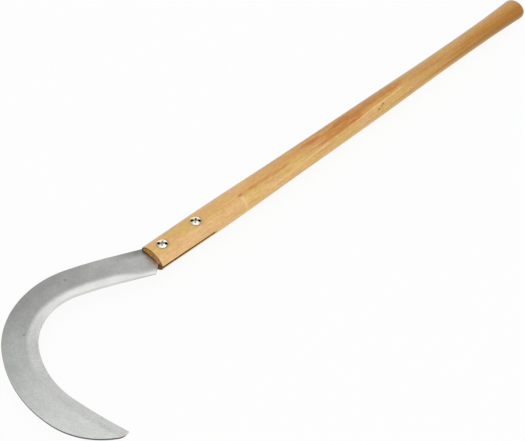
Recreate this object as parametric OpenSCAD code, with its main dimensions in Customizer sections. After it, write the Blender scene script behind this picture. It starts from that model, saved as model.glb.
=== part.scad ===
// Brush hook: a curved, single-bevel steel blade held in a slotted oval wooden
// handle by two machine screws with hex nuts.
// Millimetres. X runs along the handle towards the butt, the blade lies in the
// XY plane and Z is its thickness. The origin is under the middle of the tool.

/* [Blade] */
// width of the blade strip from back to cutting edge
blade_w = 37; // [30:0.5:46]
// thickness of the blade plate
blade_t = 2.5; // [1.6:0.1:4]
// thickness left at the cutting edge
edge_t = 0.4; // [0.2:0.1:0.8]
// width of the ground bevel
bevel_w = 10.5; // [6:0.5:16]
// width of the rounded shoulder where the grind eases into the flat
shoulder_w = 7; // [1:0.5:8]
// width of the bevel where it runs out at the heel
heel_bevel = 4; // [1:0.5:6]

/* [Hook curve] */
// angle between the blade's neck and the line of the handle
neck_angle = 25; // [15:0.1:35]
// sideways place of the blade's centre line at the handle's end
neck_y = -2.9; // [-6:0.1:0]
// straight length of the neck before the curve starts
neck_run = 45; // [35:1:70]
// centre line radius of the easy first bend
ease_r = 405; // [200:5:600]
// turn of the easy first bend
ease_turn = 6.4; // [3:0.1:12]
// centre line radius of the tight bend at the top of the hook
hook_r = 78.6; // [65:0.1:100]
// turn of the tight bend
hook_turn = 78.3; // [60:0.1:90]
// centre line radius of the open bend down the front of the hook
front_r = 129; // [100:1:160]
// turn of the open bend
front_turn = 39.1; // [32:0.1:48]
// centre line radius of the last, nearly straight stretch
point_r = 660; // [300:10:900]
// turn of the last stretch
point_turn = 6.1; // [4:0.1:10]
// radius of the back where it sweeps in to the point
sweep_r = 85; // [70:1:100]
// radius of the back where it closes on the point
tip_r = 13; // [4:0.5:18]
// distance of that round's centre from the cutting edge
tip_in = 2.5; // [1:0.1:3.5]

/* [Tang] */
// width of the tang inside the handle
tang_w = 22; // [20:0.5:30]
// length of the tang inside the handle
tang_len = 72; // [70:1:100]
// size of the corners taken off the tang's end
tang_corner = 4; // [1:0.5:8]
// distance from the handle's end to the heel corner, along the blade
heel_step = 3; // [0.5:0.5:8]

/* [Handle] */
// length of the handle
handle_len = 610; // [450:5:800]
// width at the blade's end
end_w = 34.8; // [32:0.2:42]
// thickness at the blade's end
end_t = 24.5; // [22:0.5:30]
// width at the widest place, behind the screws
swell_w = 35.8; // [34:0.2:44]
// distance of the widest place from the blade's end
swell_x = 86; // [80:1:120]
// width a third of the way down the taper
taper_w = 31.8; // [29:0.2:40]
// width three quarters of the way down the taper
waist_w = 28.4; // [26:0.2:36]
// thickness half way down the taper
taper_t = 23.5; // [20:0.5:28]
// width at the neck before the butt
grip_w = 25; // [23:0.2:34]
// thickness at the neck before the butt
grip_t = 22.5; // [20:0.5:28]
// length of the even grip before the butt starts to flare
grip_len = 100; // [60:5:150]
// length of the flare
flare_len = 65; // [50:5:120]
// width of the flared butt
butt_w = 29.4; // [27:0.2:40]
// thickness of the flared butt
butt_t = 24; // [22:0.5:32]
// length of the rounding at the butt
butt_round = 9; // [4:0.5:11]
// radius of the edge at the blade's end
end_round = 1.5; // [0.5:0.1:3]
// sideways bow of the handle at its middle
bow = 1.6; // [0:0.1:6]

/* [Slot and screws] */
// gap between the tang and each side of the slot
slot_gap = 0.1; // [0.05:0.05:0.4]
// free length of the slot behind the tang
slot_end_gap = 2; // [1:0.5:6]
// distance of the first screw from the handle's end
screw_x = 15.5; // [12:0.5:19]
// distance between the two screws
screw_pitch = 47.5; // [40:0.5:50]
// diameter of the screws
screw_d = 6; // [4:0.5:6]
// length of the screws under the head
screw_len = 30; // [29:0.5:36]
// diameter of the domed screw heads
head_d = 12; // [11:0.5:15]
// height of the screw heads
head_h = 2.4; // [2.2:0.1:4.5]
// height of the heads' upright rim, under the dome
rim_h = 1.2; // [0.4:0.1:1.6]
// width of the slot and of the cross recess in the screw heads
drive_w = 1.8; // [1.2:0.1:2.4]
// depth of the slot at the middle of the head
drive_slot = 2; // [1:0.1:2]
// depth of the cross recess at the middle of the head
drive_deep = 2.2; // [1.6:0.1:2.4]
// width of the cross recess at its mouth
drive_reach = 7; // [5:0.5:8]
// turn of the slot from the handle's direction
drive_turn = 135; // [0:5:180]
// width of the nuts across their flats
nut_w = 10; // [9:0.5:12]
// height of the nuts
nut_h = 5; // [3:0.5:6]
// depth of the flat seats cut in the wood, at the handle's middle line
seat_depth = 1.3; // [1.2:0.1:2]
// gap round the screws in the wood and in the tang
hole_gap = 0.2; // [0.1:0.05:0.5]
// gap between the screws and the nuts' bores
thread_gap = 0.05; // [0.03:0.01:0.1]
// gap round the heads and nuts in their seats
seat_gap = 0.4; // [0.2:0.1:1]

/* [Hidden] */

steel = [0.72, 0.73, 0.74];
wood = [0.82, 0.62, 0.38];
zinc = [0.80, 0.81, 0.82];

// the bends of the hook, in order from the neck: radius and turn
bends = [[ease_r, ease_turn], [hook_r, hook_turn], [front_r, front_turn], [point_r, point_turn]];

// a place on the blade's path is [x, y, heading]
function ahead(p, d) = [p[0] + d * cos(p[2]), p[1] + d * sin(p[2]), p[2]];
function aside(p, d) = [p[0] - d * sin(p[2]), p[1] + d * cos(p[2]), p[2]];
function turned(p, r, a) = let (c = aside(p, r), h = p[2] + a)
    [c[0] + r * sin(h), c[1] - r * cos(h), h];
function bend_start(i) = i == 0 ? ahead(mouth, neck_run)
    : turned(bend_start(i - 1), bends[i - 1][0], bends[i - 1][1]);
function flat(p) = [p[0], p[1]];
function polar(c, r, a) = [c[0] + r * cos(a), c[1] + r * sin(a)];
function bearing(a, b) = atan2(b[1] - a[1], b[0] - a[0]);
// an arc's points without its last, which the next stretch starts with
function arc(c, r, a0, a1, step) = let (n = ceil(abs(a1 - a0) / step))
    [for (k = [0:n - 1]) polar(c, r, a0 + (a1 - a0) * k / n)];

mouth = [0, neck_y, 180 - neck_angle];
starts = [for (i = [0:len(bends)]) bend_start(i)];
centres = [for (i = [0:len(bends) - 1]) flat(aside(starts[i], bends[i][0]))];

// the round of the point touches the end of the strip, and cuts the cutting
// edge in a sharp corner
inner_r = point_r - blade_w / 2;
tip_arc_r = inner_r + tip_in;
tip_back = asin(tip_r / tip_arc_r);
tip_turn = starts[4][2] - 90 - tip_back;
tip_c = polar(centres[3], tip_arc_r, tip_turn);
corner_cut = acos(tip_in / tip_r);
corner_turn = tip_turn + asin(sqrt(tip_r * tip_r - tip_in * tip_in) / inner_r);

// the sweep of the back touches the open bend's back and the round of the point
back_r = front_r + blade_w / 2;
gap_a = back_r - sweep_r;
gap_b = sweep_r - tip_r;
span = norm(tip_c - centres[2]);
along = (gap_a * gap_a - gap_b * gap_b + span * span) / (2 * span);
sweep_c = polar(centres[2], gap_a, bearing(centres[2], tip_c) - acos(along / gap_a));
sweep_a0 = bearing(centres[2], sweep_c);
sweep_a1 = bearing(sweep_c, tip_c);
back_a0 = starts[2][2] - 90;

function unwind(a, from) = a < from ? unwind(a + 360, from) : a;

// outline of the hook from the neck's back, round the tip, to the neck's edge
back_line = concat(
    [for (i = [0:1]) each arc(centres[i], bends[i][0] + blade_w / 2,
        starts[i][2] - 90, starts[i + 1][2] - 90, 2.5)],
    arc(centres[2], back_r, back_a0, unwind(sweep_a0, back_a0), 2.5),
    arc(sweep_c, sweep_r, sweep_a0, unwind(sweep_a1, sweep_a0), 2.5),
    arc(tip_c, tip_r, sweep_a1, unwind(tip_turn - 180, sweep_a1) - corner_cut, 6));
edge_line = concat(
    [for (i = [3:-1:0]) each arc(centres[i], bends[i][0] - blade_w / 2,
        (i == 3 ? corner_turn : starts[i + 1][2] - 90), starts[i][2] - 90, 2.5)],
    [flat(aside(starts[0], blade_w / 2))]);

// the neck and the tang that continues it inside the handle
heel = flat(ahead(aside(mouth, blade_w / 2), heel_step));
back_mouth = flat(aside(mouth, -blade_w / 2));
tang_top_x = back_mouth[0] + (back_mouth[1] - tang_w / 2) / tan(neck_angle);
tang_line = [
    heel,
    [0, -tang_w / 2],
    [tang_len - tang_corner, -tang_w / 2],
    [tang_len, -tang_w / 2 + tang_corner],
    [tang_len, tang_w / 2 - tang_corner],
    [tang_len - tang_corner, tang_w / 2],
    [tang_top_x, tang_w / 2]];
outline = concat(tang_line, back_line, edge_line);

// the ground face's height at a distance v from the cutting edge: a straight
// slope, then a shoulder that eases into the flat along a parabola, in short facets
grind = (blade_t - edge_t) / bevel_w;
function slope_z(v) = -blade_t / 2 + edge_t + grind * v;
facets = 4;
facet_v = [for (k = [0:facets]) bevel_w + shoulder_w * (k / facets - 0.5)];
facet_z = [for (v = facet_v) blade_t / 2 - grind * pow(facet_v[facets] - v, 2) / (2 * shoulder_w)];
grind_past = 0.02;
runout = neck_run - heel_step;

// the part of the neck that the grinding reaches: up to where the curve starts
neck_zone = [
    flat(aside(starts[0], blade_w)),
    flat(aside(ahead(starts[0], -2 * neck_run), blade_w)),
    flat(aside(ahead(starts[0], -2 * neck_run), -blade_w)),
    flat(aside(starts[0], -blade_w))];

// extents of the whole tool, for placing the origin
far_x = min([for (p = outline) p[0]]);
top_y = max([for (p = outline) p[1]]);
low_y = min([for (p = outline) p[1]]);
seat_z = end_t / 2 - seat_depth;
low_z = seat_z - screw_len;
screws = [screw_x, screw_x + screw_pitch];
nut_d = nut_w / cos(30);
middle = [(far_x + handle_len) / 2, (top_y + low_y) / 2, low_z];

// the handle's stations: place, half width and half thickness
flare_x = handle_len - flare_len;
grip_x = flare_x - grip_len;
taper_x = swell_x + (grip_x - swell_x) / 3;
waist_x = swell_x + (grip_x - swell_x) * 3 / 4;
stations = [
    [0, end_w / 2, end_t / 2],
    [swell_x, swell_w / 2, end_t / 2],
    [taper_x, taper_w / 2, (end_t + taper_t) / 4],
    [waist_x, waist_w / 2, (taper_t + grip_t) / 4],
    [grip_x, grip_w / 2, grip_t / 2],
    [flare_x, grip_w / 2, grip_t / 2],
    [handle_len, butt_w / 2, butt_t / 2]];
last = len(stations) - 1;
function pace(i, k) = let (a = max(i - 1, 0), b = min(i + 1, last))
    (stations[b][k] - stations[a][k]) / (stations[b][0] - stations[a][0]);
function span_of(x, i = 0) = i >= last - 1 || x < stations[i + 1][0] ? i : span_of(x, i + 1);
function size_at(x, k) = let (
    i = span_of(x),
    d = stations[i + 1][0] - stations[i][0],
    u = (x - stations[i][0]) / d)
    (2 * u * u * u - 3 * u * u + 1) * stations[i][k]
    + (u * u * u - 2 * u * u + u) * d * pace(i, k)
    + (3 * u * u - 2 * u * u * u) * stations[i + 1][k]
    + (u * u * u - u * u) * d * pace(i + 1, k);
function bow_at(x) = -bow * sin(180 * x / handle_len);

// the handle's rings: place along it and how far each lies inside the oval
ring_n = 40;
sides = 40;
rings = concat(
    [for (k = [0:3]) let (a = 90 - k * 22.5) [end_round * (1 - sin(a)), end_round * (1 - cos(a))]],
    [for (k = [0:ring_n - 1])
        [end_round + (handle_len - butt_round - end_round) * k / ring_n, 0]],
    [for (k = [0:6]) let (a = k * 14)
        [handle_len - butt_round * (1 - sin(a)), butt_round * (1 - cos(a))]]);

module place() {
    translate(-middle) children();
}

// what the grinding takes off over a bend, swept round the bend's centre and
// carried a little past both ends, so that the stretches run into each other
module grind_bend(i) {
    r = bends[i][0] - blade_w / 2;
    past = grind_past / r * 180 / PI;
    translate(centres[i])
        rotate(starts[i][2] - 90 - past)
            rotate_extrude(angle = bends[i][1] + 2 * past + (i == 3 ? 1 : 0), $fn = 180)
                translate([r, 0])
                    polygon(concat(
                        [[-3, slope_z(-3)]],
                        [for (k = [0:facets]) [facet_v[k], facet_z[k]]],
                        [[facet_v[facets], blade_t], [-3, blade_t]]));
}

// one flat pass of the grinding on the straight neck: it starts at height z0 on
// the edge and climbs inwards, and towards the heel, where the bevel runs out
module grind_pass(z0, climb) {
    rise = climb * (bevel_w - heel_bevel) / runout;
    u1 = runout + blade_w;
    v1 = bevel_w + shoulder_w;
    corners = [[-1, -3], [u1, -3], [u1, v1], [-1, v1]];
    base = [for (c = corners) [-c[0], -c[1], z0 + climb * c[1] + rise * c[0]]];
    top = [for (p = base) p + [0, 0, 3 * blade_t]];
    edge = aside(starts[0], blade_w / 2);
    translate(flat(edge))
        rotate(edge[2])
            polyhedron(concat(base, top), [
                [0, 1, 2], [0, 2, 3], [6, 5, 4], [7, 6, 4],
                [1, 0, 4], [1, 4, 5], [2, 1, 5], [2, 5, 6],
                [3, 2, 6], [3, 6, 7], [0, 3, 7], [0, 7, 4]]);
}

// the pass that cuts facet k of the shoulder
module facet_pass(k) {
    climb = (facet_z[k] - facet_z[k - 1]) / (facet_v[k] - facet_v[k - 1]);
    grind_pass(facet_z[k] - climb * facet_v[k], climb);
}

module plate(line) {
    translate([0, 0, -blade_t / 2]) linear_extrude(blade_t) polygon(line);
}

// a round hole or pin of radius r at a screw, from z0 to z1
module at_screw(x, r, z0, z1) {
    translate([x, 0, z0]) cylinder(r = r, h = z1 - z0, $fn = 72);
}

// the outline's plate with the bevel ground over the neck and the first n bends
module ground(n) {
    difference() {
        if (n == 0) plate(outline);
        else ground(n - 1);
        if (n > 0) grind_bend(n - 1);
        if (n == 0) intersection() {
            union() {
                grind_pass(slope_z(0), grind);
                for (k = [1:facets]) facet_pass(k);
            }
            translate([0, 0, -blade_t]) linear_extrude(3 * blade_t) polygon(neck_zone);
        }
    }
}

module blade() {
    color(steel) place() difference() {
        ground(4);
        for (x = screws) at_screw(x, screw_d / 2 + hole_gap, -blade_t, blade_t);
    }
}

module handle_body() {
    ring_count = len(rings);
    points = [for (ring = rings) let (
        a = size_at(ring[0], 1) - ring[1],
        b = size_at(ring[0], 2) - ring[1])
        for (k = [0:sides - 1]) let (t = 360 * k / sides)
            [ring[0], bow_at(ring[0]) + a * cos(t), b * sin(t)]];
    skin = [for (j = [0:ring_count - 2]) for (k = [0:sides - 1]) let (
        p = j * sides + k,
        q = j * sides + (k + 1) % sides)
        each [[p, p + sides, q], [q, p + sides, q + sides]]];
    first_cap = [for (k = [1:sides - 2]) [0, k, k + 1]];
    base = (ring_count - 1) * sides;
    last_cap = [for (k = [1:sides - 2]) [base, base + k + 1, base + k]];
    polyhedron(points, concat(skin, first_cap, last_cap));
}

module handle() {
    slot_t = blade_t + 2 * slot_gap;
    color(wood) place() difference() {
        handle_body();
        translate([-1, -swell_w, -slot_t / 2])
            cube([tang_len + slot_end_gap + 1, 2 * swell_w, slot_t]);
        for (x = screws) {
            at_screw(x, screw_d / 2 + hole_gap, -end_t, end_t);
            at_screw(x, head_d / 2 + seat_gap, seat_z, end_t);
            at_screw(x, nut_d / 2 + seat_gap, -end_t, -seat_z);
        }
    }
}

// the screw's drive: a slot right across the head and, through its middle, a
// cross recess of two grooves with sloping ends
module drive() {
    foot = drive_reach / 2 - drive_deep;
    translate([-head_d, -drive_w / 2, head_h - drive_slot])
        cube([2 * head_d, drive_w, head_h]);
    for (a = [0, 90]) rotate(a)
        rotate([90, 0, 0])
            linear_extrude(0.8 * drive_w, center = true)
                polygon([
                    [-drive_reach / 2 - 1, head_h + 1],
                    [-foot, head_h - drive_deep],
                    [foot, head_h - drive_deep],
                    [drive_reach / 2 + 1, head_h + 1]]);
}

module screw(x) {
    dome = head_h - rim_h;
    dome_r = (dome * dome + head_d * head_d / 4) / (2 * dome);
    chamfer = 0.8;
    color(zinc) place() translate([x, 0, seat_z]) {
        difference() {
            intersection() {
                cylinder(d = head_d, h = head_h, $fn = 96);
                translate([0, 0, head_h - dome_r]) sphere(dome_r, $fn = 144);
            }
            rotate(drive_turn) drive();
        }
        translate([0, 0, chamfer - screw_len]) cylinder(d = screw_d, h = screw_len - chamfer, $fn = 72);
        translate([0, 0, -screw_len])
            cylinder(d1 = screw_d - 2 * chamfer, d2 = screw_d, h = chamfer, $fn = 72);
    }
}

module nut(x) {
    bore = screw_d / 2 + thread_gap;
    over = nut_d / 2 + 1;
    slant = (over - nut_w / 2) * tan(30);
    color(zinc) place() translate([x, 0, -seat_z - nut_h]) difference() {
        intersection() {
            cylinder(d = nut_d, h = nut_h, $fn = 6);
            rotate_extrude($fn = 96) polygon([
                [0, 0],
                [nut_w / 2, 0],
                [over, slant],
                [over, nut_h - slant],
                [nut_w / 2, nut_h],
                [0, nut_h]]);
        }
        translate([0, 0, -1]) cylinder(r = bore, h = nut_h + 2, $fn = 72);
    }
}

module screw_front() screw(screws[0]);
module screw_rear() screw(screws[1]);
module nut_front() nut(screws[0]);
module nut_rear() nut(screws[1]);

blade();
handle();
screw_front();
screw_rear();
nut_front();
nut_rear();
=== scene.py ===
"""A long-handled brush hook on a pale studio floor.

The blade, handle, screws and nuts are the CAD nodes, and this script gives
them their finishes, the light, the floor and the camera. Lengths in the
finishes are millimetres from the middle of the handle's blade end, with X
down the handle, Y away from the hook's mouth and Z up. The near side of the
handle is the one at low Y.
"""
import math

import bpy
from mathutils import Matrix, Vector


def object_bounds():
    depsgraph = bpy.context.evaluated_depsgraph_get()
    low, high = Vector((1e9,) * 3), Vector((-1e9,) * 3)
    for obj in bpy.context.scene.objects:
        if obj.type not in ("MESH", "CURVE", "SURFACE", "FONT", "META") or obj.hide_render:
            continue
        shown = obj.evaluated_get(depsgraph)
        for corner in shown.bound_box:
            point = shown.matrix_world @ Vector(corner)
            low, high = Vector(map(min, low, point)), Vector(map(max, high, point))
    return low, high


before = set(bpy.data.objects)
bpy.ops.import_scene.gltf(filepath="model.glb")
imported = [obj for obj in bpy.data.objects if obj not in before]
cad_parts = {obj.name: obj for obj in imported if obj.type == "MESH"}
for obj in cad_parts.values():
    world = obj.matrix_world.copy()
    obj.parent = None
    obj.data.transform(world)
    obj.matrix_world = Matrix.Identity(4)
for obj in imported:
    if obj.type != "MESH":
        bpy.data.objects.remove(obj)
cad_low, cad_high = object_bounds()

# sizes of the part, in millimetres and degrees
HANDLE_LEN = 610.0
HANDLE_BOW = 1.6
BLADE_W = 37.0
BEVEL_W = 10.5
HEEL_BEVEL = 4.0
NECK_ANGLE = 25.0
NECK_Y = -2.9
NECK_RUN = 45.0
# the blade's bends from the neck to the point: radius and turn
BENDS = [(405.0, 6.4), (78.6, 78.3), (129.0, 39.1), (660.0, 6.1)]
SCREW_X = [15.5, 63.0]
HEAD_FOOT_Z = 10.95
HEAD_H = 2.4
HEAD_DOME_R = 15.6


def node_box(name):
    """The low and the high corner of a CAD node, in millimetres."""
    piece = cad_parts[name]
    corners = [piece.matrix_world @ Vector(corner) * 1000.0 for corner in piece.bound_box]
    return [Vector([pick(c[i] for c in corners) for i in range(3)]) for pick in (min, max)]


def tool_zero():
    """Middle of the handle's blade end: on the line of the screws, half way through the blade."""
    nut_low, nut_high = node_box("nut_front")
    blade_low, blade_high = node_box("blade")
    handle_low, _ = node_box("handle")
    return Vector((handle_low.x, (nut_low.y + nut_high.y) / 2, (blade_low.z + blade_high.z) / 2))


TOOL_ZERO_MM = tool_zero()


def srgb(red, green, blue):
    """A colour given in picture values, 0 to 255, as the shader's linear values."""
    def linear(c):
        c /= 255.0
        return c / 12.92 if c <= 0.04045 else ((c + 0.055) / 1.055) ** 2.4
    return (linear(red), linear(green), linear(blue), 1.0)


class Wiring:
    """Adds nodes to one node tree. A value that is a socket is linked, any other is set."""

    def __init__(self, tree):
        self.tree = tree

    def plug(self, socket, value):
        if isinstance(value, bpy.types.NodeSocket):
            self.tree.links.new(value, socket)
        elif value is not None:
            socket.default_value = value

    def add(self, kind, inputs=None, **settings):
        node = self.tree.nodes.new(kind)
        for name, value in settings.items():
            setattr(node, name, value)
        for key, value in (inputs or {}).items():
            self.plug(node.inputs[key], value)
        return node

    def sum(self, operation, a, b=None, c=None):
        node = self.add("ShaderNodeMath", operation=operation)
        for socket, value in zip(node.inputs, (a, b, c)):
            self.plug(socket, value)
        return node.outputs[0]

    def plus(self, a, b):
        return self.sum("ADD", a, b)

    def minus(self, a, b):
        return self.sum("SUBTRACT", a, b)

    def times(self, product, *others):
        """All the values multiplied together."""
        for other in others:
            product = self.sum("MULTIPLY", product, other)
        return product

    def vector(self, operation, a, b=None, scale=None):
        node = self.add("ShaderNodeVectorMath", operation=operation)
        self.plug(node.inputs[0], a)
        if b is not None:
            self.plug(node.inputs[1], b)
        if scale is not None:
            self.plug(node.inputs["Scale"], scale)
        one_value = operation in ("LENGTH", "DOT_PRODUCT", "DISTANCE")
        return node.outputs["Value" if one_value else "Vector"]

    def parts(self, vector):
        return self.add("ShaderNodeSeparateXYZ", {0: vector}).outputs

    def join(self, x, y, z):
        return self.add("ShaderNodeCombineXYZ", {0: x, 1: y, 2: z}).outputs[0]

    def from_spot(self, place, spot, scale_x=1.0, scale_y=1.0):
        """How far a place lies from a spot, seen from above, with each direction scaled."""
        away = self.vector("SUBTRACT", place, (*spot, 0.0))
        return self.vector("LENGTH", self.vector("MULTIPLY", away, (scale_x, scale_y, 0.0)))

    def ramp(self, value, low, high, to_low=0.0, to_high=1.0, smooth=True):
        curve = "SMOOTHSTEP" if smooth else "LINEAR"
        return self.add("ShaderNodeMapRange", {
            "Value": value, "From Min": low, "From Max": high,
            "To Min": to_low, "To Max": to_high}, interpolation_type=curve).outputs["Result"]

    def window(self, value, start, end, soft):
        """1 between start and end, fading to 0 over soft on both sides."""
        rise = self.ramp(value, start - soft, start + soft)
        fall = self.ramp(value, end - soft, end + soft, 1.0, 0.0)
        return self.times(rise, fall)

    def noise(self, vector, scale, detail=2.0, roughness=0.5):
        return self.add("ShaderNodeTexNoise", {
            "Vector": vector, "Scale": scale, "Detail": detail,
            "Roughness": roughness}).outputs[0]

    def noise_along(self, value, scale, detail=2.0, roughness=0.5, line=0.0):
        """Noise that changes with one value only. Each line gives another run of it."""
        return self.noise(self.join(value, line, 0.0), scale, detail, roughness)

    def stretched_noise(self, place, scales, detail=2.0, roughness=0.5):
        """Noise with its own scale in each direction."""
        return self.noise(self.vector("MULTIPLY", place, scales), 1.0, detail, roughness)

    def shift(self, noise, reach):
        """Noise turned into a move to either side, of half of reach at most."""
        return self.times(self.minus(noise, 0.5), reach)

    def blend(self, factor, a, b, mode="MIX"):
        node = self.add("ShaderNodeMix", data_type="RGBA", blend_type=mode)
        self.plug(node.inputs[0], factor)
        self.plug(node.inputs[6], a)
        self.plug(node.inputs[7], b)
        return node.outputs[2]

    def tint(self, mask, colour, tint):
        """The colour, multiplied by the tint as far as the mask goes."""
        return self.blend(mask, colour, self.blend(1.0, colour, tint, "MULTIPLY"))

    def tones(self, value, stops):
        """A run of colours: stops are (place from 0 to 1, colour), in order."""
        node = self.add("ShaderNodeValToRGB", {0: value})
        made = node.color_ramp.elements
        made[0].position, made[0].color = stops[0]
        made[1].position, made[1].color = stops[-1]
        for at, colour in stops[1:-1]:
            made.new(at).color = colour
        return node.outputs[0]

    def group(self, made, **inputs):
        node = self.add("ShaderNodeGroup", node_tree=made)
        for name, value in inputs.items():
            self.plug(node.inputs[name.replace("_", " ")], value)
        return node.outputs


def new_group(name, inputs, outputs):
    """A node group: inputs are (name, kind, value), outputs are (name, kind)."""
    made = bpy.data.node_groups.new(name, "ShaderNodeTree")
    for label, kind, value in inputs:
        socket = made.interface.new_socket(label, in_out="INPUT", socket_type="NodeSocket" + kind)
        if value is not None:
            socket.default_value = value
    for label, kind in outputs:
        made.interface.new_socket(label, in_out="OUTPUT", socket_type="NodeSocket" + kind)
    wiring = Wiring(made)
    return made, wiring, wiring.add("NodeGroupInput").outputs, wiring.add("NodeGroupOutput").inputs


def new_material(name):
    """A material with one Principled shader: the material, its wiring and the shader's inputs."""
    made = bpy.data.materials.new(name)
    made.use_nodes = True
    w = Wiring(made.node_tree)
    made.node_tree.nodes.clear()
    shader = w.add("ShaderNodeBsdfPrincipled")
    w.plug(w.add("ShaderNodeOutputMaterial").inputs["Surface"], shader.outputs[0])
    return made, w, shader.inputs


# Effects that several finishes use

# over how many millimetres the wander of the long streaks changes
WANDER_RUN = 90.0


def tool_place_group():
    """Where a point lies on the tool, in millimetres from the handle's blade end."""
    made, w, _, out = new_group("tool_place", [], [("Place", "Vector"), ("Facing", "Vector")])
    here = w.add("ShaderNodeTexCoord").outputs["Object"]
    here_mm = w.vector("SCALE", here, scale=1000.0)
    w.plug(out["Place"], w.vector("SUBTRACT", here_mm, tuple(TOOL_ZERO_MM)))
    w.plug(out["Facing"], w.add("ShaderNodeNewGeometry").outputs["Normal"])
    return made


def soft_blotches_group():
    """Cloudy patches of a given size, as a mask that fades from none to full."""
    made, w, i, out = new_group("soft_blotches", [
        ("Place", "Vector", None), ("Size", "Float", 10.0), ("Detail", "Float", 2.0),
        ("Start", "Float", 0.4), ("Full", "Float", 0.6)], [("Mask", "Float")])
    cloud = w.noise(i["Place"], w.sum("DIVIDE", 1.0, i["Size"]), i["Detail"])
    w.plug(out["Mask"], w.ramp(cloud, i["Start"], i["Full"]))
    return made


def long_streaks_group():
    """Lines drawn out along the first direction: wood fibres, or marks of rolling or grinding."""
    made, w, i, out = new_group("long_streaks", [
        ("Place", "Vector", None), ("Length", "Float", 60.0), ("Width", "Float", 1.0),
        ("Detail", "Float", 3.0), ("Wander", "Float", 0.0)], [("Streaks", "Float")])
    x, y, z = w.parts(i["Place"])
    drift = w.times(w.noise_along(w.sum("DIVIDE", x, WANDER_RUN), 1.0, 1.0), i["Wander"])
    stretched = w.join(w.sum("DIVIDE", x, i["Length"]),
                       w.sum("DIVIDE", w.plus(y, drift), i["Width"]),
                       w.sum("DIVIDE", z, i["Width"]))
    w.plug(out["Streaks"], w.noise(stretched, 1.0, i["Detail"], 0.6))
    return made


TOOL_PLACE = tool_place_group()
SOFT_BLOTCHES = soft_blotches_group()
LONG_STREAKS = long_streaks_group()


# The blade. Its places are given along it from the start of the neck, and from its cutting edge.

# length of the blade's middle line, and tones of its two faces along it: the steel's own tone with
# painted reflection, which changes from the heel to the point
BLADE_RUN = NECK_RUN + sum(radius * math.radians(turn) for radius, turn in BENDS)
FLAT_TONES_AND_REFLECTION = [(0.0, srgb(189, 190, 187)), (0.25, srgb(171, 172, 169)),
              (0.42, srgb(167, 168, 165)), (0.52, srgb(183, 185, 182)),
              (0.66, srgb(191, 193, 190)), (0.75, srgb(203, 205, 202)),
              (0.83, srgb(209, 211, 208))]
BEVEL_TONES_AND_REFLECTION = [(0.0, srgb(207, 208, 206)), (0.12, srgb(199, 200, 197)),
               (0.4, srgb(201, 202, 199)), (0.56, srgb(211, 212, 210)),
               (0.8, srgb(206, 207, 205))]
SHEARED_TONE = srgb(104, 104, 103)

# how far outside of the plate a point still counts as on a bend
PLATE_SLACK = 2.0

# the bright grind: where it starts, its width there, and the stretch where it is narrower
GRIND_START = 14.0
GRIND_AT_HEEL = HEEL_BEVEL - 0.6
GRIND_NARROWS = (92.0, 128.0)
GRIND_NARROWED_BY = 1.6
GRIND_WANDER = 1.6
GRIND_EASE = (-3.0, 2.5)

# the darker marks: their run along the blade, and their band from the cutting edge; the corner's
# mark is painted shade
HONED_RUN, HONED_BAND = (12.0, 120.0), (0.4, 1.9)
DULL_RUN, DULL_BAND = (80.0, 230.0), (22.0, 33.0)
SHADED_CORNER_RUN, SHADED_CORNER_BAND = (45.0, 5.0), (25.0, 34.0)
# the spots of pitting on the flat
PITS = [(-160.7, 11.5), (-85.2, 40.0)]
PIT_RIM, PIT_HEART = 2.4, 0.3


def blade_line():
    """The blade's middle line: its straight neck and its bends, as dictionaries."""
    x, y, heading = 0.0, NECK_Y, 180.0 - NECK_ANGLE
    neck = {"start": Vector((x, y)), "heading": heading}
    run = NECK_RUN
    x += run * math.cos(math.radians(heading))
    y += run * math.sin(math.radians(heading))
    bends = []
    for radius, turn in BENDS:
        side = math.radians(heading + 90.0)
        centre = Vector((x + radius * math.cos(side), y + radius * math.sin(side)))
        middle = math.radians(heading - 90.0 + turn / 2.0)
        bends.append({"centre": centre, "radius": radius, "half": math.radians(turn / 2.0),
                      "middle": Vector((math.cos(middle), math.sin(middle))), "run": run})
        heading += turn
        end = math.radians(heading - 90.0)
        x, y = centre.x + radius * math.cos(end), centre.y + radius * math.sin(end)
        run += radius * math.radians(turn)
    return neck, bends


def blade_place_group():
    """How far a point of the blade is from the cutting edge, and how far down the blade."""
    made, w, i, out = new_group("blade_place", [("Place", "Vector", None)],
                                [("From Edge", "Float"), ("Down Blade", "Float")])
    x, y, _ = w.parts(i["Place"])
    flat_place = w.join(x, y, 0.0)
    neck, bends = blade_line()
    h = math.radians(neck["heading"])
    rel = w.vector("SUBTRACT", flat_place, (*neck["start"], 0.0))
    off = w.vector("DOT_PRODUCT", rel, (-math.sin(h), math.cos(h), 0.0))
    from_edge = w.minus(BLADE_W / 2, off)
    down = w.vector("DOT_PRODUCT", rel, (math.cos(h), math.sin(h), 0.0))
    for bend in bends:
        m = bend["middle"]
        rel = w.vector("SUBTRACT", flat_place, (*bend["centre"], 0.0))
        angle = w.sum("ARCTAN2", w.vector("DOT_PRODUCT", rel, (-m.y, m.x, 0.0)),
                      w.vector("DOT_PRODUCT", rel, (m.x, m.y, 0.0)))
        v = w.minus(w.vector("LENGTH", rel), bend["radius"] - BLADE_W / 2)
        in_turn = w.sum("LESS_THAN", w.sum("ABSOLUTE", angle), bend["half"])
        from_middle = w.sum("ABSOLUTE", w.minus(v, BLADE_W / 2))
        on_plate = w.sum("LESS_THAN", from_middle, BLADE_W / 2 + PLATE_SLACK)
        here = w.times(in_turn, on_plate)
        s = w.sum("MULTIPLY_ADD", w.plus(angle, bend["half"]), bend["radius"], bend["run"])
        from_edge = w.ramp(here, 0.0, 1.0, from_edge, v, smooth=False)
        down = w.ramp(here, 0.0, 1.0, down, s, smooth=False)
    w.plug(out["From Edge"], from_edge)
    w.plug(out["Down Blade"], down)
    return made


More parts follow.
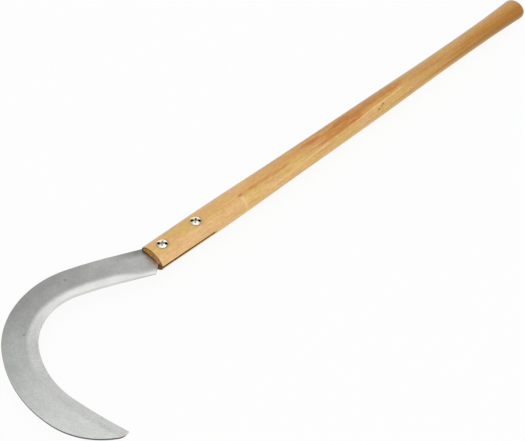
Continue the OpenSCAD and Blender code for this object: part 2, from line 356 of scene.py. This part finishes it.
def grind_mask(w, s, v, facing):
    """Where the upper face is ground bright: it eases into the flat and runs out at the heel."""
    width = w.ramp(s, GRIND_START, NECK_RUN, GRIND_AT_HEEL, BEVEL_W)
    narrower = w.times(w.window(s, *GRIND_NARROWS, 18.0), GRIND_NARROWED_BY)
    inside = w.minus(w.minus(width, narrower), v)
    wander = w.shift(w.noise_along(s, 0.05), GRIND_WANDER)
    upper = w.sum("GREATER_THAN", w.parts(facing)[2], 0.5)
    return w.times(w.ramp(w.plus(inside, wander), *GRIND_EASE), upper)


def steel_marks_and_shade(w, place, s, v):
    """Darker marks, as (mask, depth): the honed edge, the dull back, the corner and the pits.

    The corner's mark is painted shade, from the handle's end beside it.
    """
    honed = w.times(w.window(v, *HONED_BAND, 0.7), w.window(s, *HONED_RUN, 14.0))
    dull_back = w.times(w.ramp(v, *DULL_BAND), w.window(s, *DULL_RUN, 20.0))
    # painted shade on the blade's back corner by the handle's end
    corner = w.times(w.ramp(s, *SHADED_CORNER_RUN), w.ramp(v, *SHADED_CORNER_BAND))
    marks = [(honed, 0.2), (dull_back, 0.09), (corner, 0.5)]
    for pit in PITS:
        marks.append((w.ramp(w.from_spot(place, pit), PIT_RIM, PIT_HEART), 0.34))
    return marks


def blade_steel():
    """Rolled steel, tumbled to a satin grey, with a bright ground bevel and a dark sheared back."""
    made, w, shader = new_material("blade_steel")
    place, facing = w.group(TOOL_PLACE)
    on_blade = w.group(blade_place_group(), Place=place)
    v, s = on_blade["From Edge"], on_blade["Down Blade"]
    along_blade = w.join(s, v, w.parts(place)[2])
    bevel = grind_mask(w, s, v, facing)
    mottle = w.noise(place, 0.45, 3.0, 0.65)
    patches = w.noise(place, 0.05, 3.0)
    rolled = w.group(LONG_STREAKS, Place=along_blade,
                     Length=70.0, Width=1.6, Detail=3.0)["Streaks"]
    ground = w.group(LONG_STREAKS, Place=along_blade,
                     Length=26.0, Width=0.35, Detail=4.0)["Streaks"]

    # painted reflection: both faces change tone from the heel to the point; they are also a little
    # uneven all over
    far = w.ramp(s, 0.0, BLADE_RUN, smooth=False)
    colour = w.blend(bevel, w.tones(far, FLAT_TONES_AND_REFLECTION), w.tones(far, BEVEL_TONES_AND_REFLECTION))
    shade = w.times(w.ramp(mottle, 0.25, 0.75, 0.88, 1.1, smooth=False),
                    w.ramp(patches, 0.3, 0.7, 0.94, 1.05, smooth=False),
                    w.ramp(rolled, 0.3, 0.7, 0.96, 1.03, smooth=False))
    scratches = w.times(bevel, w.ramp(ground, 0.35, 0.7, 0.0, 0.08))
    shade = w.times(shade, w.minus(1.0, scratches))
    for mask, depth in steel_marks_and_shade(w, place, s, v):
        shade = w.times(shade, w.minus(1.0, w.times(mask, depth)))
    colour = w.blend(1.0, colour, w.join(shade, shade, shade), "MULTIPLY")

    # the sheared back is darker steel, and the cutting edge stays bright
    upright = w.minus(1.0, w.sum("ABSOLUTE", w.parts(facing)[2]))
    sheared = w.times(w.ramp(upright, 0.5, 0.8), w.ramp(v, 4.0, 8.0))
    w.plug(shader["Base Color"], w.blend(sheared, colour, SHEARED_TONE))
    shader["Metallic"].default_value = 1.0
    rough = w.ramp(mottle, 0.3, 0.7, 0.36, 0.44, smooth=False)
    rough = w.minus(rough, w.times(bevel, 0.08))
    w.plug(shader["Roughness"], w.plus(rough, w.times(sheared, 0.15)))
    relief = w.plus(w.times(mottle, 0.5), w.times(ground, w.times(bevel, 0.6)))
    relief = w.plus(relief, w.times(rolled, 0.3))
    bump = w.add("ShaderNodeBump", {"Strength": 0.25, "Distance": 0.00008, "Height": relief})
    w.plug(shader["Normal"], bump.outputs[0])
    return made


# The handle

# tones along the handle, from the blade's end to the butt: on its top, and on its near side, whose
# paler tone by the blade's end is partly painted light and partly the wood's own tone
TOP_TONES = [(0.0, srgb(222, 182, 116)), (0.2, srgb(224, 180, 114)), (0.55, srgb(200, 146, 80)),
             (0.78, srgb(206, 160, 96)), (1.0, srgb(198, 148, 78))]
NEAR_SIDE_TONES_AND_LIGHT = [(0.0, srgb(236, 197, 138)), (0.2, srgb(228, 187, 126)), (0.6, srgb(215, 176, 114)),
              (0.8, srgb(195, 148, 74)), (1.0, srgb(172, 115, 33))]

# the growth rings: from one to the next, and where their pith lies from the handle's middle
RING_GAP = 2.6
PITH_Y = 3.0
PITH_DEPTH = 38.0

# tints that the wood's colour is multiplied by
OCHRE_CLOUD, PINK_CLOUD = (1.0, 1.01, 0.84, 1), (1.02, 0.97, 1.06, 1)
DULL_FIGURE, BRIGHT_FIGURE = (0.93, 0.92, 0.87, 1), (1.05, 1.07, 1.1, 1)
LATE_WOOD = (0.86, 0.76, 0.62, 1)
DARK_BAND, PALE_BAND = (0.86, 0.78, 0.66, 1), (1.05, 1.08, 1.12, 1)
DARK_FIBRE = (0.82, 0.74, 0.62, 1)
OPEN_PORE = (0.6, 0.48, 0.36, 1)
# painted shade round the screw heads
SCREW_SHADE_TINT = (0.72, 0.62, 0.5, 1)

# where the heart shows: from and to along the handle, from and to across it, and how strongly
HEART_PATCHES = [(138, 196, -6.5, -2.5, 0.55), (150, 196, -11.5, -9.5, 0.35),
                 (222, 254, -1.0, 4.0, 0.85), (243, 285, -9.5, 1.0, 0.55),
                 (276, 318, -9.0, 7.0, 0.72), (312, 388, -2.0, 5.5, 0.45)]
HEART_RUN = (160.0, 330.0)
HEART_TONE = srgb(188, 106, 26)

# the pale stripe: its run along the handle, its slant, and where it would start across it
STRIPE_RUN = (165.0, 400.0)
STRIPE_SLANT = 0.04
STRIPE_Y = -21.0
STRIPE_TONE = srgb(250, 210, 140)
AMBER_RUN = (400.0, 500.0)
AMBER_TONE = srgb(174, 108, 24)

# the knot, the scar beside it, and the flecks with how dark they are
KNOT_AT = (124.5, -4.0)
KNOT_TONE, SMEAR_TONE = srgb(150, 94, 40), srgb(178, 112, 56)
SCAR_X, SCAR_Y = (121.5, 125.0), (-17.0, -7.0)
SCAR_TONE = srgb(252, 208, 158)
FLECKS = [((339.0, -11.4), 0.7), ((344.0, -10.4), 0.4), ((347.5, -9.5), 0.7)]
FLECK_TONE = srgb(118, 76, 26)

# painted sheen on the far side and underside, and the near side darker and browner: the runs along
# the handle where these grow
BUTT_SHEEN_RUN, DARKER_NEAR_RUN = (260.0, 400.0), (440.0, 560.0)
FAR_SIDE_SHEEN_TONE, UNDERSIDE_SHEEN_TONE = srgb(196, 164, 122), srgb(214, 188, 150)
BUTT_SHEEN_TONE, DARKER_NEAR_TONE = srgb(188, 178, 152), srgb(146, 102, 50)
# painted shade in a ring round each screw's head, by its radii
SCREW_SHADE_RING = (6.2, 7.8)

# the sawn slot: half its width with the clearance, and how far it is seen along the handle
SLOT_HALF = 1.36
SLOT_END = 76.0
# bare sawn wood, darkened with painted shade in the narrow slot
SLOT_TONE_AND_SHADE, SLOT_DEEP_TONE_AND_SHADE = srgb(146, 108, 68), srgb(186, 148, 104)
# the lower lip below the slot, painted pale and nearly white
LIP_BAND = (-6.0, -1.3)
LIP_TONE = srgb(248, 230, 200)

# the blade end's oval, by its half width and half height, and a dark dot on it
END_HALF_W, END_HALF_H = 17.4, 12.2
END_DOT = (-2.4, 5.7)
END_OCHRE, END_PINK = srgb(184, 130, 48), srgb(196, 128, 84)
END_PORES, END_RAYS = srgb(88, 46, 16), srgb(232, 176, 124)
# dark for the rim and the dot, and for the painted shade over the blade and the painted shadow
# under it
END_DARK_AND_SHADE = srgb(50, 24, 8)
BUTT_TONE, BUTT_PORES = srgb(186, 128, 60), srgb(150, 92, 36)


def grown_wood(w, place, fibres, pores):
    """The wood's own colour, from its rings, bands, fibres, pores and figure."""
    x, y, z = w.parts(place)

    # growth rings round a pith that lies under the handle and wanders along it
    sway = w.shift(w.noise_along(x, 0.006, 1.0), 16.0)
    lift = w.shift(w.noise_along(x, 0.007, 2.0, line=50.0), 14.0)
    ripple = w.shift(w.stretched_noise(place, (0.02, 0.12, 0.12), 3.0), 5.0)
    pith_y = w.minus(w.minus(y, PITH_Y), sway)
    pith_z = w.plus(w.plus(z, PITH_DEPTH), lift)
    radius = w.plus(w.vector("LENGTH", w.join(pith_y, pith_z, 0.0)), ripple)
    ring = w.sum("FRACT", w.sum("DIVIDE", radius, RING_GAP))
    late = w.times(w.ramp(ring, 0.35, 0.92), w.ramp(ring, 0.95, 1.0, 1.0, 0.0))

    # paler on the near side, partly painted light and partly the wood's own tone, with ochre and
    # pink clouds
    bands = w.group(LONG_STREAKS, Place=place,
                    Length=150.0, Width=6.0, Detail=2.0, Wander=10.0)["Streaks"]
    near_side = w.ramp(w.plus(y, w.shift(bands, 14.0)), 0.0, -12.0)
    down = w.sum("DIVIDE", x, HANDLE_LEN)
    colour = w.blend(near_side, w.tones(down, TOP_TONES), w.tones(down, NEAR_SIDE_TONES_AND_LIGHT))
    cloud = w.group(SOFT_BLOTCHES, Place=w.vector("MULTIPLY", place, (0.35, 1.0, 1.0)),
                    Size=13.0, Detail=3.0, Start=0.36, Full=0.64)["Mask"]
    colour = w.blend(1.0, colour, w.blend(cloud, OCHRE_CLOUD, PINK_CLOUD), "MULTIPLY")

    # darker late wood, bands that fade towards the blade, fibres and pores
    banded = w.ramp(x, 40.0, 160.0, 0.45, 1.0)
    for mask, tint in ((w.times(late, 0.3), LATE_WOOD),
                       (w.ramp(bands, 0.5, 0.72, 0.0, banded), DARK_BAND),
                       (w.ramp(bands, 0.48, 0.3), PALE_BAND),
                       (w.ramp(fibres, 0.38, 0.7, 0.0, 0.35), DARK_FIBRE),
                       (w.ramp(pores, 0.66, 0.76, 0.0, 0.5), OPEN_PORE)):
        colour = w.tint(mask, colour, tint)

    # fine uneven figure, a few millimetres across
    figure = w.stretched_noise(place, (0.2, 0.42, 0.42), 2.0, 0.6)
    uneven = w.blend(w.ramp(figure, 0.32, 0.68), DULL_FIGURE, BRIGHT_FIGURE)
    return w.blend(1.0, colour, uneven, "MULTIPLY")


def with_heart(w, place, colour):
    """Orange-brown heart that comes through the top in long ragged patches."""
    x, y, _ = w.parts(place)
    ragged = w.stretched_noise(place, (0.012, 0.45, 0.1), 3.0, 0.6)
    patch_x = w.plus(x, w.shift(ragged, 70.0))
    patch_y = w.plus(y, w.shift(w.stretched_noise(place, (0.03, 0.05, 0.0)), 6.0))
    heart = w.times(w.window(x, *HEART_RUN, 35.0), w.ramp(y, -5.0, 3.0, 0.0, 0.25))
    for start, end, low, high, depth in HEART_PATCHES:
        patch = w.times(w.window(patch_x, start, end, 9.0), w.window(patch_y, low, high, 1.4))
        heart = w.sum("MAXIMUM", heart, w.times(patch, depth))
    flakes = w.stretched_noise(place, (0.07, 0.32, 0.2), 2.0, 0.55)
    heart = w.times(heart, w.ramp(ragged, 0.3, 0.6, 0.7, 1.0),
                    w.ramp(flakes, 0.4, 0.58, 0.55, 1.15))
    return w.blend(heart, colour, HEART_TONE)


def with_near_side_marks(w, place, colour):
    """A pale yellow stripe up the near side, and amber brown low on it towards the butt."""
    x, y, _ = w.parts(place)

    # the stripe slants, as the taper cuts across the grain
    stripe_y = w.sum("MULTIPLY_ADD", x, STRIPE_SLANT, STRIPE_Y)
    stripe = w.times(w.window(w.minus(y, stripe_y), -0.9, 0.7, 0.5),
                     w.window(x, *STRIPE_RUN, 25.0))
    broken = w.ramp(w.noise_along(x, 0.05, 3.0, 0.7, line=9.0), 0.35, 0.65, 0.2, 0.65)
    colour = w.blend(w.times(stripe, broken), colour, STRIPE_TONE)

    low_side = w.times(w.ramp(x, *AMBER_RUN), w.ramp(y, 4.0, -9.0))
    ragged = w.ramp(w.stretched_noise(place, (0.012, 0.35, 0.2)), 0.35, 0.6)
    return w.blend(w.times(low_side, ragged, 0.6), colour, AMBER_TONE)


def with_knot(w, place, colour):
    """A small knot, the pale scar of a twig beside it and dark flecks, all on the upper side."""
    x, y, z = w.parts(place)
    upper = w.ramp(z, -2.0, 2.0)
    scar = w.times(w.window(x, *SCAR_X, 1.8), w.window(y, *SCAR_Y, 2.0))
    smear = w.from_spot(place, KNOT_AT, 0.12, 0.4)
    knot = w.from_spot(place, KNOT_AT, 0.4, 0.75)
    for mask, tone in ((w.times(scar, 0.5), SCAR_TONE),
                       (w.ramp(smear, 1.2, 0.2, 0.0, 0.35), SMEAR_TONE),
                       (w.ramp(knot, 1.6, 0.3, 0.0, 0.5), KNOT_TONE)):
        colour = w.blend(w.times(mask, upper), colour, tone)
    for fleck_at, depth in FLECKS:
        fleck = w.ramp(w.from_spot(place, fleck_at, 0.4, 0.8), 1.1, 0.2, 0.0, depth)
        colour = w.blend(w.times(fleck, upper), colour, FLECK_TONE)
    return colour


def with_sheen_and_shade(w, place, facing, colour):
    """Sides and underside greyed by painted sheen, and painted shade in a ring round the screw
    heads.

    Towards the butt the far side has more painted sheen, and the near side is darker and browner.
    """
    x = w.parts(place)[0]
    _, face_y, face_z = w.parts(facing)
    # painted sheen: the far side greys more towards the butt
    butt_sheen = w.times(w.window(face_y, 0.45, 0.8, 0.25), w.ramp(x, *BUTT_SHEEN_RUN, 0.0, 0.55))
    # the near side darker and browner towards the butt
    darker_near = w.times(w.ramp(face_y, -0.68, -0.92, 0.0, 0.5), w.ramp(x, *DARKER_NEAR_RUN))
    # painted sheen on the far side and on the underside
    for mask, tone in ((w.ramp(face_y, 0.5, 0.85, 0.0, 0.6), FAR_SIDE_SHEEN_TONE),
                       (w.ramp(face_z, 0.35, -0.2, 0.0, 0.45), UNDERSIDE_SHEEN_TONE),
                       (butt_sheen, BUTT_SHEEN_TONE), (darker_near, DARKER_NEAR_TONE)):
        colour = w.blend(mask, colour, tone)
    # painted shade in a ring round each screw's head
    for screw_x in SCREW_X:
        ring = w.window(w.from_spot(place, (screw_x, 0.0)), *SCREW_SHADE_RING, 0.6)
        colour = w.tint(w.times(ring, 0.45), colour, SCREW_SHADE_TINT)
    return colour


def with_slot(w, place, colour):
    """The sawn slot, its walls bare wood darkened with painted shade, and its lower lip painted
    pale.
    """
    x, _, z = w.parts(place)
    # the lower lip is painted pale
    lip = w.times(w.window(z, *LIP_BAND, 1.0), w.window(x, 3.0, SLOT_END, 3.0))
    colour = w.blend(w.times(lip, 0.85), colour, LIP_TONE)
    # painted shade on the slot's walls, over the bare wood's tone
    wall = w.ramp(w.sum("ABSOLUTE", z), SLOT_HALF + 0.14, SLOT_HALF, smooth=False)
    slot = w.times(wall, w.ramp(x, SLOT_END + 2.0, SLOT_END))
    return w.blend(slot, colour, w.blend(w.ramp(x, 30.0, 70.0), SLOT_TONE_AND_SHADE, SLOT_DEEP_TONE_AND_SHADE))


def end_grain(w, place):
    """The cut ends, which drink the lacquer.

    The blade's end is dark round its rim and at a dot; over the blade it is dark with stain and
    painted shade, and its lower near corner, under the blade, is painted shadow.
    """
    x, y, z = w.parts(place)
    on_end = w.join(0.0, y, z)
    dots = w.noise(on_end, 0.5, 3.0, 0.6)
    tone = w.blend(w.ramp(y, 5.0, -7.0), END_OCHRE, END_PINK)
    tone = w.blend(w.ramp(dots, 0.5, 0.6, 0.0, 0.85), tone, END_PORES)
    tone = w.blend(w.ramp(dots, 0.44, 0.36, 0.0, 0.5), tone, END_RAYS)
    oval = w.vector("MULTIPLY", on_end, (0.0, 1.0 / END_HALF_W, 1.0 / END_HALF_H))
    rim = w.times(w.ramp(w.vector("LENGTH", oval), 0.84, 0.93), w.ramp(x, 3.0, 0.5))
    # stain with painted shade where the blade enters the end
    stain_and_shade_over_blade = w.times(w.window(z, 0.0, 3.1, 0.5), w.ramp(y, -10.0, -1.0))
    # painted shadow of the blade on the end's lower near corner
    corner = w.times(w.ramp(z, 1.0, -1.0), w.ramp(y, -4.0, -9.0))
    dot = w.ramp(w.vector("DISTANCE", on_end, (0.0, *END_DOT)), 1.7, 0.7)
    for mask, depth in ((rim, 0.75), (stain_and_shade_over_blade, 0.95), (corner, 0.95), (dot, 0.85)):
        tone = w.blend(w.times(mask, depth), tone, END_DARK_AND_SHADE)
    butt_tone = w.blend(w.ramp(dots, 0.45, 0.6), BUTT_TONE, BUTT_PORES)
    blade_half = w.ramp(x, HANDLE_LEN / 2, HANDLE_LEN / 2 - 10.0)
    return w.blend(blade_half, butt_tone, tone)


def handle_wood():
    """Honey-coloured hardwood under thin lacquer, with brown heart streaks and end grain."""
    made, w, shader = new_material("handle_wood")
    place, facing = w.group(TOOL_PLACE)

    # the grain follows the handle's bow
    x, y, z = w.parts(place)
    bow = w.times(w.sum("SINE", w.times(x, math.pi / HANDLE_LEN)), HANDLE_BOW)
    place = w.join(x, w.plus(y, bow), z)
    fibres = w.group(LONG_STREAKS, Place=place,
                     Length=45.0, Width=0.7, Detail=3.0, Wander=4.0)["Streaks"]
    pores = w.group(LONG_STREAKS, Place=place, Length=5.0, Width=0.28, Detail=1.0)["Streaks"]

    colour = grown_wood(w, place, fibres, pores)
    colour = with_heart(w, place, colour)
    colour = with_near_side_marks(w, place, colour)
    colour = with_knot(w, place, colour)
    colour = with_sheen_and_shade(w, place, facing, colour)
    colour = with_slot(w, place, colour)
    end = w.ramp(w.sum("ABSOLUTE", w.parts(facing)[0]), 0.5, 0.85)
    colour = w.blend(w.times(end, 0.92), colour, end_grain(w, place))

    w.plug(shader["Base Color"], colour)
    rough = w.ramp(fibres, 0.3, 0.7, 0.42, 0.54, smooth=False)
    w.plug(shader["Roughness"], w.plus(rough, w.times(end, 0.2)))
    w.plug(shader["Coat Weight"], w.times(w.minus(1.0, end), 0.05))
    shader["Coat Roughness"].default_value = 0.25
    shader["Specular IOR Level"].default_value = 0.3
    relief = w.minus(w.times(fibres, 0.6), w.ramp(pores, 0.64, 0.78, 0.0, 0.8))
    bump = w.add("ShaderNodeBump", {"Strength": 0.35, "Distance": 0.00012, "Height": relief})
    w.plug(shader["Normal"], bump.outputs[0])
    return made


# Screws and nuts

PLATING, CLOUDED_PLATING = srgb(250, 246, 232), srgb(222, 218, 202)
# painted shade for the drive's recesses
GREY_DRIVE_SHADE, ARM_SHADE_TONE, BLACK_SLOT_SHADE = srgb(196, 194, 176), srgb(36, 31, 22), srgb(3, 2, 1)

# the drive, from the head's middle: the outer parts of its slot and cross arms, and its reach
SLOT_ENDS = (2.8, 5.5)
ARM_ENDS = (1.7, 3.9)
DRIVE_R = 5.4
# the slot lies half way between the handle's length and its width
DIAGONAL = math.sqrt(0.5)


def plated_fastener(name, screw_x, arm_shade):
    """Bright plating with turned rings on the head and painted shade down in the drive."""
    made, w, shader = new_material(name)
    place, _ = w.group(TOOL_PLACE)
    rel = w.vector("SUBTRACT", place, (screw_x, 0.0, 0.0))
    z = w.parts(rel)[2]
    r = w.from_spot(place, (screw_x, 0.0))
    sphere = w.sum("MAXIMUM", w.minus(HEAD_DOME_R ** 2, w.times(r, r)), 0.0)
    dome = w.plus(w.sum("SQRT", sphere), HEAD_FOOT_Z + HEAD_H - HEAD_DOME_R)
    on_head = w.sum("GREATER_THAN", z, HEAD_FOOT_Z + 0.05)
    sunk = w.times(w.ramp(w.minus(dome, z), 0.1, 0.5), on_head, w.ramp(r, DRIVE_R, DRIVE_R - 0.4))
    turned = w.noise_along(w.times(r, 4.0), 1.0, 3.0, 0.6)
    clouds = w.group(SOFT_BLOTCHES, Place=place,
                     Size=2.5, Detail=3.0, Start=0.35, Full=0.65)["Mask"]
    colour = w.blend(clouds, PLATING, CLOUDED_PLATING)

    # painted shade in the drive: grey across its middle, dark in its cross arms, black in the
    # slot's ends
    along = w.sum("ABSOLUTE", w.vector("DOT_PRODUCT", rel, (-DIAGONAL, DIAGONAL, 0.0)))
    across = w.sum("ABSOLUTE", w.vector("DOT_PRODUCT", rel, (DIAGONAL, DIAGONAL, 0.0)))
    middle = w.times(w.ramp(r, 2.9, 2.2), w.ramp(clouds, 0.2, 0.8, 0.35, 0.8))
    arms = w.times(w.ramp(along, 1.2, 0.8), w.window(across, *ARM_ENDS, 0.4))
    ends = w.times(w.window(along, *SLOT_ENDS, 0.3), w.ramp(across, 2.1, 1.6))
    for mask, drive_shade in ((w.sum("MAXIMUM", sunk, middle), GREY_DRIVE_SHADE),
                        (w.times(arms, arm_shade), ARM_SHADE_TONE), (ends, BLACK_SLOT_SHADE)):
        colour = w.blend(w.times(mask, on_head), colour, drive_shade)

    w.plug(shader["Base Color"], colour)
    shader["Metallic"].default_value = 1.0
    rough = w.ramp(clouds, 0.0, 1.0, 0.2, 0.3, smooth=False)
    w.plug(shader["Roughness"], w.plus(rough, w.times(sunk, 0.3)))
    bump = w.add("ShaderNodeBump", {"Strength": 0.2, "Distance": 0.00006, "Height": turned})
    w.plug(shader["Normal"], bump.outputs[0])
    return made


def dress(node, material):
    """Give a CAD node its one finish."""
    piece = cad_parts[node]
    if not piece.material_slots:
        piece.data.materials.append(material)
    for slot in piece.material_slots:
        slot.material = material


dress("blade", blade_steel())
dress("handle", handle_wood())
# painted shade in the cross arms: lighter on the front screw, darker on the rear one
for which, screw_x, arm_shade in (("front", SCREW_X[0], 0.6), ("rear", SCREW_X[1], 0.95)):
    plating = plated_fastener("plated_" + which, screw_x, arm_shade)
    dress("screw_" + which, plating)
    dress("nut_" + which, plating)


# The studio, in metres but for the names that end in MM or PX

FLOOR_HALF = 6.0
FLOOR_GAP = 0.0003
FLOOR_GREY = (0.86, 0.86, 0.86, 1.0)
WHITE = (1.0, 1.0, 1.0, 1.0)
# how much of the floor is plain white where it is seen, as the rest shows the shadow
FLOOR_WHITE_SHARE = 0.92

# tones of the sky from straight down, 0, over level, 0.5, to straight up, 1
SKY_STOPS = [(0.0, 1.0), (0.5, 1.0), (0.62, 0.85), (0.75, 0.42), (0.82, 0.46), (0.92, 0.9),
             (1.0, 1.0)]
SKY_STRENGTH = 1.1

# the panels: place, size and power
PANELS = {"ceiling_panel": ((0.3, 0.4, 1.7), (1.0, 1.0), 2.2),
          "front_panel": ((-1.3, -1.6, 1.0), (1.6, 1.2), 3.2)}

# the camera: its turn and tilt, how far off the handle's end is, and where that end is seen
CAMERA_TURN, CAMERA_TILT = math.radians(-44.0358), math.radians(47.0)
CAMERA_DEPTH_MM = 1512.578
FOCAL_PX = 1429.0
PICTURE_PX = (525, 441)
HANDLE_END_PX = (151.943, 258.918)
SENSOR_MM = 36.0


def studio_floor():
    """White to the eye but for the shadow on it, and pale grey for the light it sends back."""
    mesh = bpy.data.meshes.new("studio_floor")
    corners = [(-FLOOR_HALF, -FLOOR_HALF, 0), (FLOOR_HALF, -FLOOR_HALF, 0),
               (FLOOR_HALF, FLOOR_HALF, 0), (-FLOOR_HALF, FLOOR_HALF, 0)]
    mesh.from_pydata(corners, [], [(0, 1, 2, 3)])
    floor = bpy.data.objects.new("studio_floor", mesh)
    floor.location.z = cad_low.z - FLOOR_GAP
    bpy.context.scene.collection.objects.link(floor)
    made = bpy.data.materials.new("studio_floor")
    made.use_nodes = True
    w = Wiring(made.node_tree)
    made.node_tree.nodes.clear()
    matt = w.add("ShaderNodeBsdfDiffuse", {"Color": FLOOR_GREY})
    white = w.add("ShaderNodeEmission", {"Color": WHITE, "Strength": 1.0})
    rays = w.add("ShaderNodeLightPath").outputs
    mirrored = w.sum("MAXIMUM", rays["Is Glossy Ray"], rays["Is Transmission Ray"])
    seen = w.times(w.sum("MAXIMUM", rays["Is Camera Ray"], mirrored), FLOOR_WHITE_SHARE)
    mix = w.add("ShaderNodeMixShader", {0: seen, 1: matt.outputs[0], 2: white.outputs[0]})
    w.plug(w.add("ShaderNodeOutputMaterial").inputs["Surface"], mix.outputs[0])
    mesh.materials.append(made)


def studio_sky():
    """A white room: bright low down and overhead, with a greyer band between them."""
    world = bpy.data.worlds.new("studio_sky")
    world.use_nodes = True
    bpy.context.scene.world = world
    w = Wiring(world.node_tree)
    world.node_tree.nodes.clear()
    height = w.parts(w.add("ShaderNodeTexCoord").outputs["Generated"])[2]
    colour = w.tones(height, [(at, (tone, tone, tone, 1.0)) for at, tone in SKY_STOPS])
    sky = w.add("ShaderNodeBackground", {"Color": colour, "Strength": SKY_STRENGTH})
    white = w.add("ShaderNodeBackground", {"Color": WHITE, "Strength": 1.0})
    seen = w.add("ShaderNodeLightPath").outputs["Is Camera Ray"]
    mix = w.add("ShaderNodeMixShader", {0: seen, 1: sky.outputs[0], 2: white.outputs[0]})
    w.plug(w.add("ShaderNodeOutputWorld").inputs["Surface"], mix.outputs[0])


def soft_panel(name, place, size, power):
    """A rectangular lamp that looks at the middle of the frame."""
    light = bpy.data.lights.new(name, "AREA")
    light.shape = "RECTANGLE"
    light.size, light.size_y = size
    light.energy = power
    panel = bpy.data.objects.new(name, light)
    panel.location = place
    panel.rotation_euler = (-Vector(place)).to_track_quat("-Z", "Y").to_euler()
    bpy.context.scene.collection.objects.link(panel)


def picture_camera():
    """Stands so that the handle's blade end falls where it does in the picture."""
    ahead = Vector((-math.sin(CAMERA_TURN) * math.cos(CAMERA_TILT),
                    math.cos(CAMERA_TURN) * math.cos(CAMERA_TILT), -math.sin(CAMERA_TILT)))
    right = Vector((math.cos(CAMERA_TURN), math.sin(CAMERA_TURN), 0.0))
    top = right.cross(ahead)
    mm_per_px = CAMERA_DEPTH_MM / FOCAL_PX
    place = TOOL_ZERO_MM - ahead * CAMERA_DEPTH_MM
    place -= right * ((HANDLE_END_PX[0] - PICTURE_PX[0] / 2) * mm_per_px)
    place += top * ((HANDLE_END_PX[1] - PICTURE_PX[1] / 2) * mm_per_px)
    data = bpy.data.cameras.new("picture_camera")
    data.sensor_width = SENSOR_MM
    data.lens = FOCAL_PX / PICTURE_PX[0] * SENSOR_MM
    data.clip_start, data.clip_end = 0.05, 50.0
    camera = bpy.data.objects.new("picture_camera", data)
    turned = Matrix((right, top, -ahead)).transposed()
    camera.matrix_world = Matrix.Translation(place / 1000.0) @ turned.to_4x4()
    bpy.context.scene.collection.objects.link(camera)
    bpy.context.scene.camera = camera


studio_floor()
studio_sky()
for panel_name, (panel_place, panel_size, panel_power) in PANELS.items():
    soft_panel(panel_name, panel_place, panel_size, panel_power)
picture_camera()
bpy.context.scene.view_settings.view_transform = "Standard"
